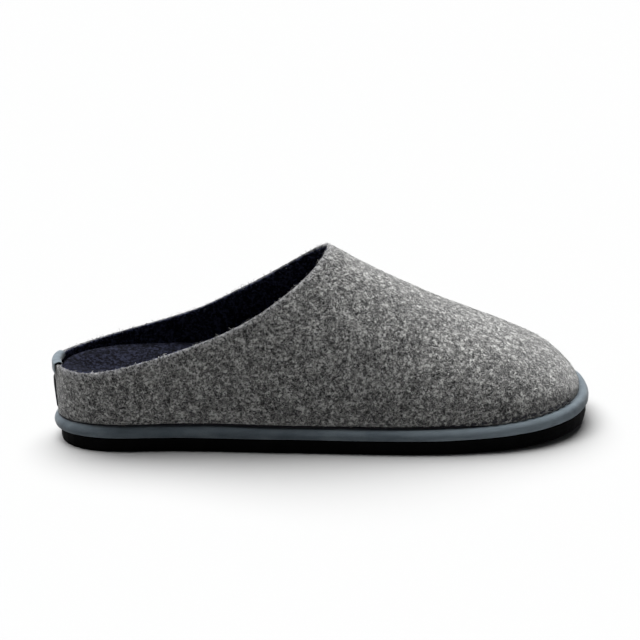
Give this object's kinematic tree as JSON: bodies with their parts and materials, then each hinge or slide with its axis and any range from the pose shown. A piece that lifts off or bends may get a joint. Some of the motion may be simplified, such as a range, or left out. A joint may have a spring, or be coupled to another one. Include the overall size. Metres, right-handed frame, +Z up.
{
  "type": "felt slipper",
  "caption": "Low-backed felt slipper for the right foot, with a closed toe, contoured footbed, suede-wrapped platform and thin grooved rubber sole.",
  "frame": {"origin": "centre of the shoe's outline in plan, on the floor", "axes": "+X to the toe, +Z up, -Y to the little-toe side"},
  "size_m": [0.286, 0.106, 0.099],
  "materials": {
    "black_rubber": "matt black rubber",
    "blue_grey_suede": "blue-grey suede, short nap",
    "navy_felt": "dark navy wool felt",
    "grey_felt": "mottled grey wool felt",
    "dark_suede": "near-black suede, matt"
  },
  "bodies": {
    "root": {"outsole": "black_rubber", "wrapped_platform": "blue_grey_suede", "footbed": "navy_felt", "upper": "grey_felt", "heel_tab": "blue_grey_suede", "heel_patch": "dark_suede"}
  },
  "joints": []
}
